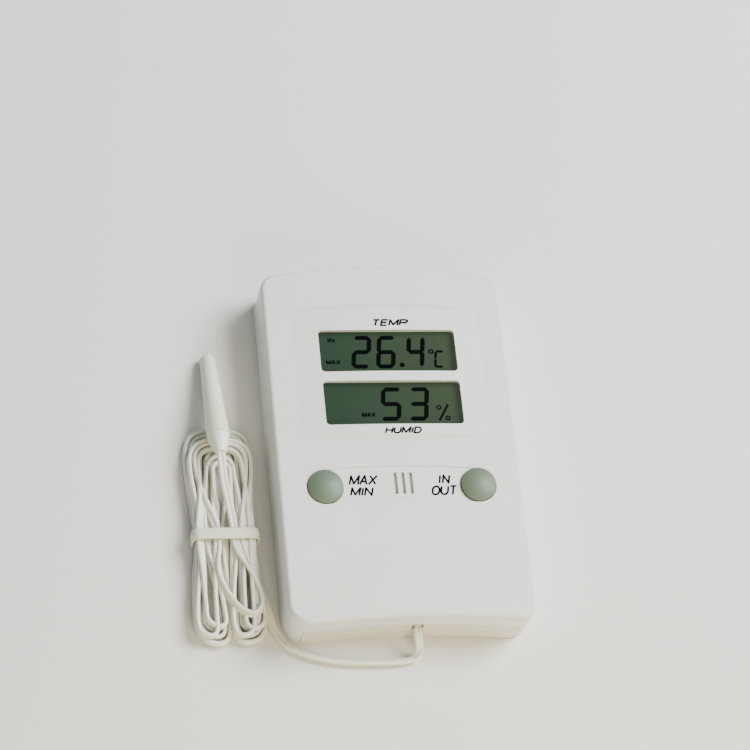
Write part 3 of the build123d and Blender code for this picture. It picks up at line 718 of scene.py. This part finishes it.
def run(place, bottom_x, top_x, level, draw):
    """Strand from the bottom to the top of the hank through its place in the tie."""
    column, layer = place
    start = (COLUMNS[column], LAYERS[layer])
    x, z = start
    loose = UPPER_STRAY if level == UPPER_Z else LOWER_STRAY
    sway = [draw.uniform(-loose, loose) for _ in range(4)]
    lift = [draw.uniform(0, loose) for _ in range(2)]
    lean = draw.choice(TIE_LEANS)
    edge = EDGE_LEANS[0] if lean < FOLD_LEAN else EDGE_LEANS[1]
    return [
        way_point(BY_LOWER_FOLD, start, bottom_x, level, sway[0] / 2, 0, NEAR_FOLD_LEAN),
        way_point(BELOW_TIE, start, bottom_x, level, sway[1], lift[0], edge),
        (x, WAIST_Y - WAIST_HALF, z, lean),
        (x, WAIST_Y + WAIST_HALF, z, lean),
        way_point(ABOVE_TIE, start, top_x, level, sway[2], lift[1], edge),
        way_point(BY_UPPER_FOLD, start, top_x, level, sway[3] / 2, 0, NEAR_FOLD_LEAN),
    ]


def hank_points():
    """Points of the hank's turns: (x, y, z, lean), where lean turns the flat cable on edge."""
    draw = random.Random(SEED)
    points = []
    last = len(TOP_FOLDS) - 1
    for index, (radius, crest) in enumerate(TOP_FOLDS):
        level = LOWER_Z if index < LOWER_LOOPS else UPPER_Z
        shift = draw.uniform(-UPPER_SHIFT, UPPER_SHIFT) if level == UPPER_Z else 0.0
        tops = (HANK_X + shift - radius, HANK_X + shift + radius)
        left = run(LEFT[index][:2], LEFT[index][2], tops[0], level, draw)
        right = run(RIGHT[index][:2], RIGHT[index][2], tops[1], level, draw)
        up, down = (right, left) if index % 2 == 0 else (left, right)
        if index == 0:
            up = up[1:]
        start, end = (tops[1], tops[0]) if index % 2 == 0 else (tops[0], tops[1])
        points += up + fold(start, end, crest, level, level, 1)
        if index == last:
            points += down[:1:-1]
            break
        points += down[::-1]
        sides = LEFT if index % 2 == 0 else RIGHT
        next_level = LOWER_Z if index + 1 < LOWER_LOOPS else UPPER_Z
        start, end = sides[index][2], sides[index + 1][2]
        slope = BOTTOM_SLOPES["left"] if index % 2 == 0 else -BOTTOM_SLOPES["right"]
        points += fold(start, end, BOTTOM_CRESTS[index], level, next_level, -1, slope)
    for x, y, z in CROSSING:
        points.append((x, y, z, CROSSING_LEAN))
    x, z = COLUMNS[LAST_PLACE[0]], LAYERS[LAST_PLACE[1]]
    points.append((x, WAIST_Y - WAIST_HALF, z, 0))
    points.append((x, WAIST_Y + WAIST_HALF, z, 0))
    return points


# Probe: where its cap begins, x and y of its tip, its length, the tip's radius and its height
PROBE_START = (-49.4, -1.2, 10.0)
PROBE_TIP = (-49.9, 33.0)
PROBE_LENGTH = 35.2
PROBE_TIP_R = 2.25
PROBE_TIP_Z = PROBE_TIP_R + 0.05
# Lead from the hank to the probe: route, last straight stretch, and how far it goes into the cap
LEAD_ROUTE = (
    (-47.4, -16.0, 6.3, 0),
    (-48.9, -9.6, 8.7, 0),
)
LEAD_RUN = 3.2
LEAD_INSIDE = 0.4


def probe_axis():
    """Where the probe's cap begins and which way its axis runs to the tip."""
    start = Vector(PROBE_START)
    slope = math.asin((start.z - PROBE_TIP_Z) / (PROBE_LENGTH - PROBE_TIP_R))
    level = Vector((PROBE_TIP[0] - start.x, PROBE_TIP[1] - start.y, 0)).normalized()
    return start, level * math.cos(slope) - Vector((0, 0, math.sin(slope)))


def cord_points():
    start, axis = probe_axis()
    near, end = start - axis * LEAD_RUN, start + axis * LEAD_INSIDE
    into_cap = [(*near, 0), (*end, 0)]
    return [*FREE_ROUTE, *hank_points(), *LEAD_ROUTE, *into_cap]


def spline_samples(points, steps):
    """Points along a quadratic NURBS spline, read back from Blender."""
    curve = bpy.data.curves.new("route", "CURVE")
    curve.dimensions = "3D"
    curve.resolution_u = steps
    spline = curve.splines.new("NURBS")
    spline.points.add(len(points) - 1)
    for control, point in zip(spline.points, points):
        control.co = (point[0] * MM, point[1] * MM, point[2] * MM, 1)
    spline.order_u = 3
    spline.use_endpoint_u = True
    source = collection_link(bpy.data.objects.new("route", curve))
    bpy.context.view_layer.update()
    mesh = bpy.data.meshes.new_from_object(source)
    bpy.data.objects.remove(source)
    return [v.co.copy() for v in mesh.vertices]


def leans_along(points, count):
    """Lean of the cable at each sample, eased between the control points.

    A quadratic spline has two spans fewer than points, and begins midway between two points.
    """
    spans = len(points) - 2
    leans = []
    for index in range(count):
        place = spans * index / (count - 1) + 0.5
        before = min(int(place), len(points) - 2)
        share = place - before
        leans.append(points[before][3] * (1 - share) + points[before + 1][3] * share)
    return leans


def cable_section():
    """Outline of two joined cores, in millimetres."""
    outline = []
    for side in (1, -1):
        for step in range(CORE_STEPS + 1):
            turn = math.radians(-CORE_SWEEP + 2 * CORE_SWEEP * step / CORE_STEPS)
            outline.append((side * (CORE_X + CORE_R * math.cos(turn)), side * CORE_R * math.sin(turn)))
    return outline


def sweep_cable(name, path, leans):
    section = cable_section()
    around = len(section)
    points = []
    for index, place in enumerate(path):
        before = path[max(index - 1, 0)]
        after = path[min(index + 1, len(path) - 1)]
        along = (after - before).normalized()
        side = Vector((0, 0, 1)).cross(along).normalized()
        up = along.cross(side)
        turn = math.radians(leans[index])
        wide = side * math.cos(turn) + up * math.sin(turn)
        thick = along.cross(wide)
        for u, v in section:
            points.append(place + wide * u * MM + thick * v * MM)
    faces = []
    for index in range(len(path) - 1):
        for step in range(around):
            after = (step + 1) % around
            a, b = index * around + step, index * around + after
            faces.append((a, b, b + around, a + around))
    faces.append(tuple(range(around))[::-1])
    last = (len(path) - 1) * around
    faces.append(tuple(range(last, last + around)))
    return mesh_object(name, points, faces)


def thin_out(path, leans, step):
    """Samples at least a step apart, with both ends kept."""
    kept = [0]
    for index in range(1, len(path) - 1):
        if (path[index] - path[kept[-1]]).length >= step:
            kept.append(index)
    if (path[-1] - path[kept[-1]]).length < step / 2:
        kept.pop()
    kept.append(len(path) - 1)
    return [path[i] for i in kept], [leans[i] for i in kept]


def cable():
    points = cord_points()
    path = spline_samples(points, SAMPLES_PER_SPAN)
    leans = leans_along(points, len(path))
    path, leans = thin_out(path, leans, SAMPLE_STEP)
    piece = sweep_cable("sensor_cable", path, leans)
    piece.data.materials.append(CABLE)
    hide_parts("sensor_cord", "cord_hank", "probe_lead")
    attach(piece, "root")
    return piece, path


# Tie: section of the band as y and depth from its outer face, in millimetres
TIE_SECTION = (
    (-1.6, -0.75),
    (-1.6, -0.3),
    (-1.35, -0.12),
    (-0.5, -0.16),
    (-0.22, 0.0),
    (0.22, 0.0),
    (0.5, -0.16),
    (1.35, -0.12),
    (1.6, -0.3),
    (1.6, -0.75),
)
TIE_CORNER_R = 2.3 * MM
TIE_CORNER_STEPS = 7
TIE_WANDER = 0.14 * MM
TIE_INSET = (0.05 * MM, 0.02 * MM)


def tie_band():
    """Soft band round the hank's waist with a raised line along its middle."""
    half_x = (TIE_HIGH.x - TIE_LOW.x) / 2 - TIE_INSET[0]
    half_z = (TIE_HIGH.z - TIE_LOW.z) / 2 - TIE_INSET[1]
    centre = (TIE_LOW + TIE_HIGH) / 2
    loop = []
    for quarter in range(4):
        sx = 1 if quarter in (0, 3) else -1
        sz = 1 if quarter in (0, 1) else -1
        for step in range(TIE_CORNER_STEPS + 1):
            turn = math.radians(90 * (quarter + step / TIE_CORNER_STEPS))
            out = Vector((math.cos(turn), 0, math.sin(turn)))
            base = Vector((sx * (half_x - TIE_CORNER_R), 0, sz * (half_z - TIE_CORNER_R)))
            loop.append((centre + base + out * TIE_CORNER_R, out))
    points = []
    for index, (place, out) in enumerate(loop):
        wander = TIE_WANDER * math.sin(math.tau * index / len(loop))
        for y, depth in TIE_SECTION:
            points.append(place + out * depth * MM + Vector((0, y * MM + wander, 0)))
    faces = []
    around = len(TIE_SECTION)
    for index in range(len(loop)):
        following = (index + 1) % len(loop)
        for step in range(around):
            after = (step + 1) % around
            faces.append((
                index * around + step,
                following * around + step,
                following * around + after,
                index * around + after,
            ))
    piece = mesh_object("tie_band", points, faces)
    piece.data.materials.append(TIE)
    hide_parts("hank_tie")
    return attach(piece, "root")


# ---------------------------------------------------------------- rubber domes


def rubber_dome(node):
    """Copy of a contact dome with a mesh of its own; the copy keeps the dome's shape and doesn't flatten
    under its button.
    """
    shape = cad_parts[node]
    dome = collection_link(bpy.data.objects.new(node + "_dome", shape.data.copy()))
    dome.matrix_world = shape.matrix_world.copy()
    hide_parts(node)
    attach(dome, "root")
    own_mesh(dome)


# ---------------------------------------------------------------- stage


def camera():
    data = bpy.data.cameras.new("camera")
    data.lens = LENS
    data.sensor_width = SENSOR
    data.clip_start, data.clip_end = CLIP
    back = Vector((
        -math.sin(AZIMUTH) * math.sin(TILT),
        -math.cos(AZIMUTH) * math.sin(TILT),
        math.cos(TILT),
    ))
    right = Vector((0, 1, 0)).cross(back).normalized()
    up = back.cross(right)
    rolled_right = right * math.cos(ROLL) + up * math.sin(ROLL)
    rolled_up = up * math.cos(ROLL) - right * math.sin(ROLL)
    turn = Matrix((rolled_right, rolled_up, back)).transposed().to_4x4()
    obj = collection_link(bpy.data.objects.new("camera", data))
    obj.matrix_world = Matrix.Translation(TARGET + back * DISTANCE) @ turn
    bpy.context.scene.camera = obj


def area_light(name, place, aim, size, watts, colour):
    data = bpy.data.lights.new(name, "AREA")
    data.shape = "DISK"
    data.size = size
    data.energy = watts
    data.color = colour
    obj = collection_link(bpy.data.objects.new(name, data))
    obj.location = place
    obj.visible_camera = False
    obj.rotation_mode = "QUATERNION"
    obj.rotation_quaternion = (Vector(aim) - Vector(place)).to_track_quat("-Z", "Y")


FLOOR_HALF = 3.0
FLOOR_Z = -0.03 * MM
FLOOR_COLOUR = (0.80, 0.79, 0.76, 1)
FLOOR_ROUGHNESS = 0.9
WORLD_COLOUR = (0.85, 0.93, 1.0, 1)
WORLD_STRENGTH = 0.30
# Lights: name, place, aim, size, watts and colour
LIGHTS = (
    ("key", (0.66, 0.30, 0.80), (0, 0, 0), 0.7, 26.0, (0.965, 0.99, 1.0)),
    ("fill", (0.08, -0.44, 0.26), (0, -0.03, 0), 0.4, 2.7, (1.0, 0.84, 0.52)),
)


def stage():
    turns = ((-1, -1), (1, -1), (1, 1), (-1, 1))
    corners = [(x * FLOOR_HALF, y * FLOOR_HALF, FLOOR_Z) for x, y in turns]
    floor = mesh_object("floor", corners, [(0, 1, 2, 3)])
    material, nodes, links, shader = new_material("floor")
    shader.inputs["Base Color"].default_value = FLOOR_COLOUR
    shader.inputs["Roughness"].default_value = FLOOR_ROUGHNESS
    floor.data.materials.append(material)
    world = bpy.data.worlds.new("world")
    bpy.context.scene.world = world
    world.use_nodes = True
    background = world.node_tree.nodes["Background"]
    background.inputs["Color"].default_value = WORLD_COLOUR
    background.inputs["Strength"].default_value = WORLD_STRENGTH
    for light in LIGHTS:
        area_light(*light)


camera()
stage()
paint_nodes()
legends()
display()
cord_piece, cord_path = cable()
tie = tie_band()
rubber_dome("max_min_contact")
rubber_dome("in_out_contact")
for part in ("probe_cap", "probe_body", "probe_thermistor"):
    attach(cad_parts[part], "root")
